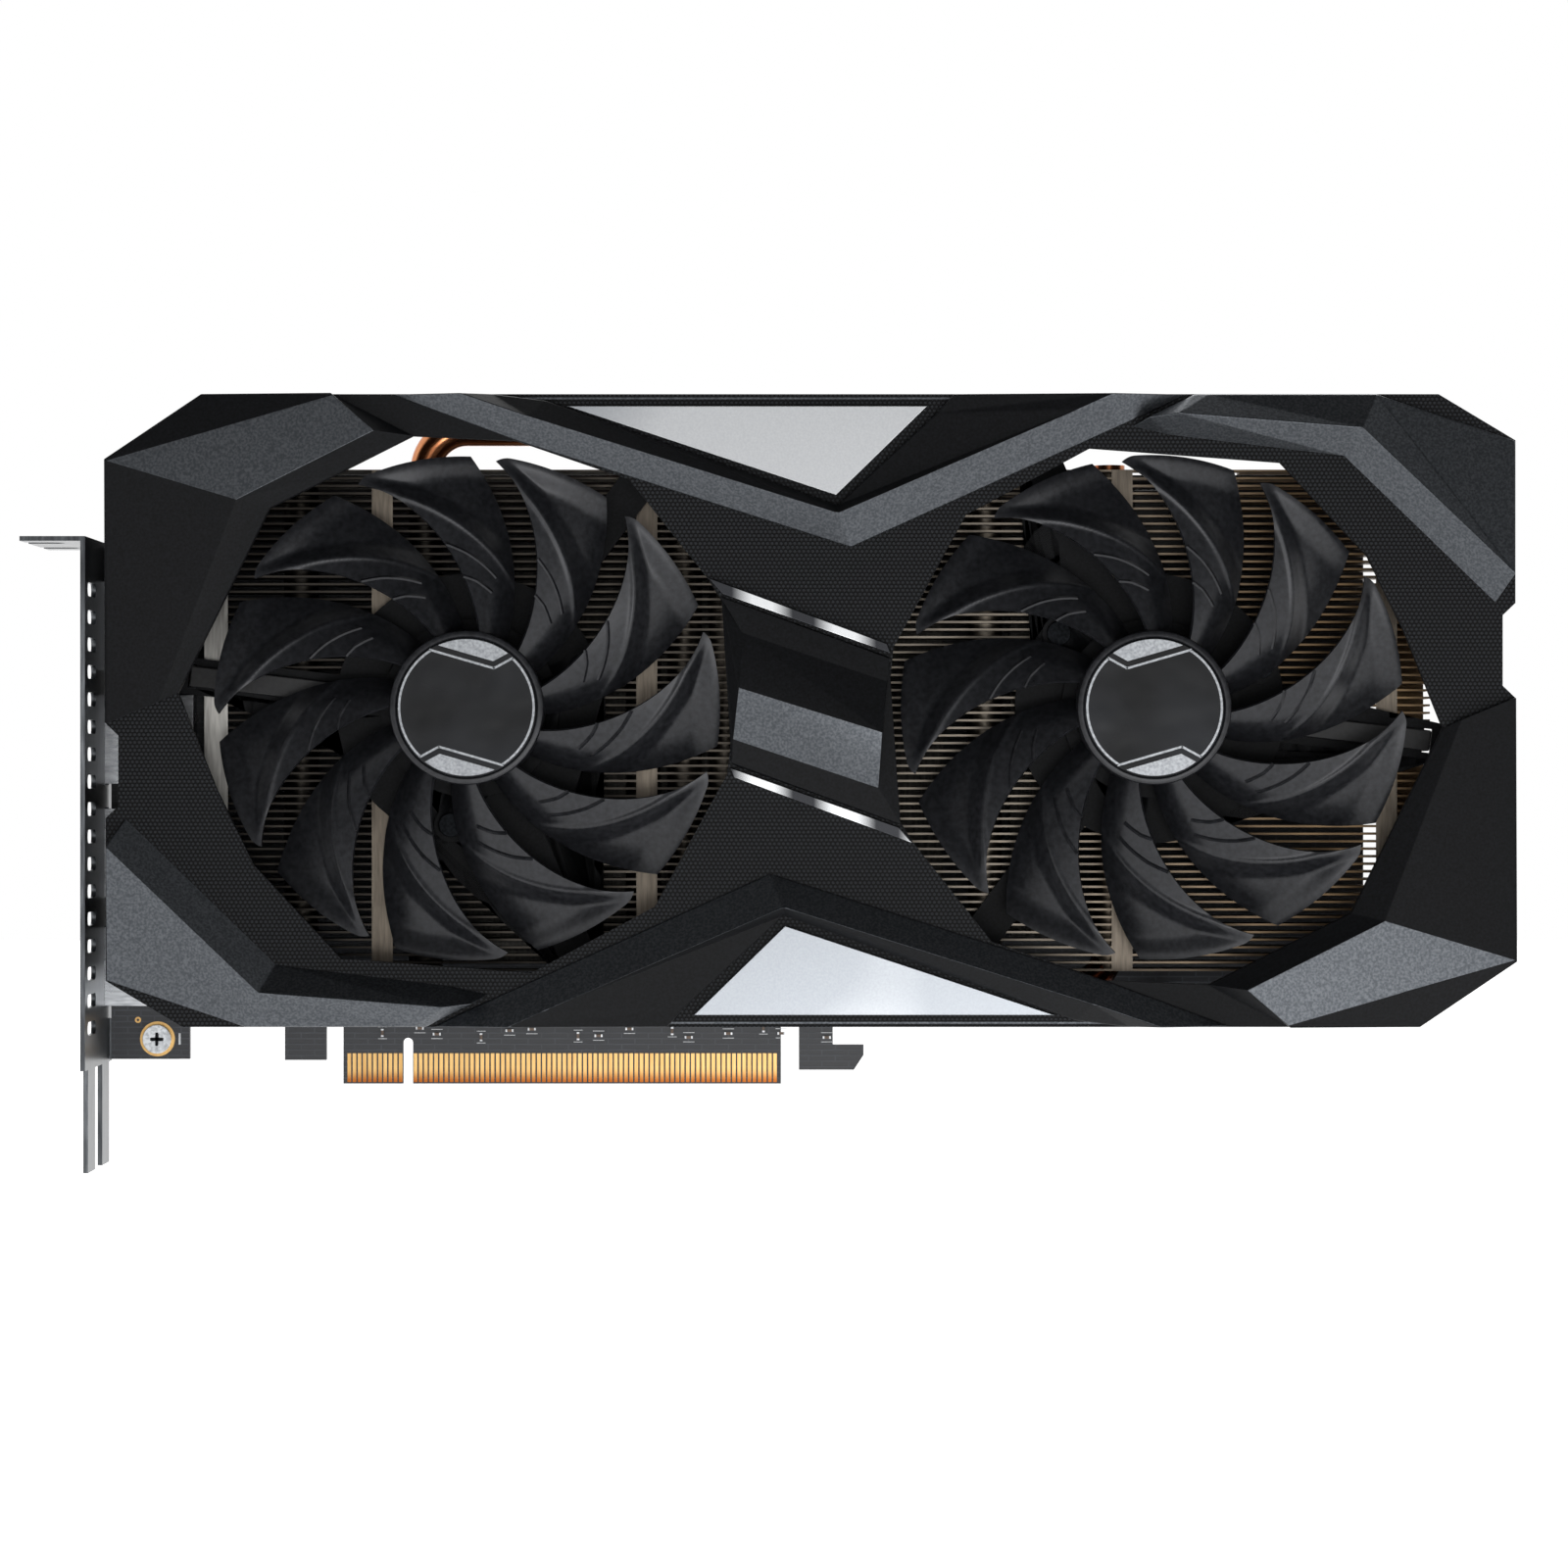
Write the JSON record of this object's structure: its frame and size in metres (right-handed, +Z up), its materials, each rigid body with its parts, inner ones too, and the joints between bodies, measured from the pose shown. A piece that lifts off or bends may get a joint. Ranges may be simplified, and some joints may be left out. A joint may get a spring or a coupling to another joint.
{
  "type": "graphics card",
  "caption": "Two-slot graphics card with twin axial fans behind a faceted cover, a fin stack, a circuit board with an edge connector and a slot bracket.",
  "frame": {"origin": "key notch of the edge connector, at the bottom of the contacts, on the middle plane of the circuit board", "axes": "+X along the card away from the bracket, +Z up from the edge connector, -Y towards the fans' side"},
  "size_m": [0.2818, 0.0428, 0.1471],
  "materials": {
    "cover_plastic": "fine moulded texture",
    "trim_plastic": "metallic-flecked satin",
    "silver_plate": "satin silver",
    "fan_plastic": "semi-gloss",
    "badge_gloss": "mirror gloss",
    "yoke_steel": "zinc plated",
    "magnet": "bonded ferrite",
    "bearing_bronze": "sintered, oiled",
    "winding_copper": "enamelled wire",
    "lead_sleeve": "matte",
    "fin_aluminium": "stamped sheet",
    "pipe_copper": "drawn copper",
    "pad_silicone": "soft silicone",
    "board_black": "solder mask",
    "contact_gold": "gold plated",
    "package_green": "laminate",
    "die_silicon": "polished silicon",
    "chip_epoxy": "moulded epoxy",
    "choke_ferrite": "pressed ferrite",
    "can_aluminium": "drawn can",
    "connector_black": "moulded nylon",
    "header_nylon": "moulded nylon",
    "backplate_metal": "satin black",
    "screw_steel": "nickel plated",
    "bracket_steel": "nickel-plated sheet",
    "socket_shell": "nickel-plated shell"
  },
  "bodies": {
    "card": {"shroud": "cover_plastic", "corner_cover_left": "trim_plastic", "corner_cover_right": "trim_plastic", "edge_trim_left": "trim_plastic", "edge_trim_right": "trim_plastic", "v_trim_upper": "trim_plastic", "v_trim_lower": "trim_plastic", "silver_plate_upper": "silver_plate", "silver_plate_lower": "silver_plate", "centre_bridge": "trim_plastic", "silver_strips": "silver_plate", "fan_base_left": "cover_plastic", "bearing_left": "bearing_bronze", "stator_left": "winding_copper", "fan_board_left": "package_green", "fan_carrier_left": "cover_plastic", "fan_lead_left": "lead_sleeve", "fan_base_right": "cover_plastic", "bearing_right": "bearing_bronze", "stator_right": "winding_copper", "fan_board_right": "package_green", "fan_carrier_right": "cover_plastic", "fan_lead_right": "lead_sleeve", "fan_screws": "screw_steel", "carrier_screws": "screw_steel", "fins": "fin_aluminium", "heat_pipes": "pipe_copper", "base_plate": "fin_aluminium", "core_plate": "pipe_copper", "thermal_pads": "pad_silicone", "circuit_board": "board_black", "edge_contacts": "contact_gold", "processor_package": "package_green", "processor_die": "die_silicon", "memory_chips": "chip_epoxy", "power_stages": "chip_epoxy", "chokes": "choke_ferrite", "capacitors": "can_aluminium", "power_connector": "connector_black", "power_pins": "contact_gold", "fan_headers": "header_nylon", "backplate": "backplate_metal", "backplate_screws": "screw_steel", "retention_plate": "yoke_steel", "spring_screws": "screw_steel", "screw_springs": "screw_steel", "bracket": "bracket_steel", "bracket_screws": "screw_steel", "hdmi_socket": "socket_shell", "displayport_sockets": "socket_shell"},
    "fan_left": {"impeller_left": "fan_plastic", "rotor_yoke_left": "yoke_steel", "magnet_ring_left": "magnet", "shaft_left": "screw_steel", "hub_badge_left": "badge_gloss"},
    "fan_right": {"impeller_right": "fan_plastic", "rotor_yoke_right": "yoke_steel", "magnet_ring_right": "magnet", "shaft_right": "screw_steel", "hub_badge_right": "badge_gloss"}
  },
  "joints": [
    {"name": "fan_left_spin", "type": "hinge", "parent": "card", "child": "fan_left", "pos_m": [0.0132, -0.025, 0.0728], "axis": [0, -1, 0], "continuous": true},
    {"name": "fan_right_spin", "type": "hinge", "parent": "card", "child": "fan_right", "pos_m": [0.1432, -0.025, 0.0728], "axis": [0, -1, 0], "continuous": true}
  ]
}
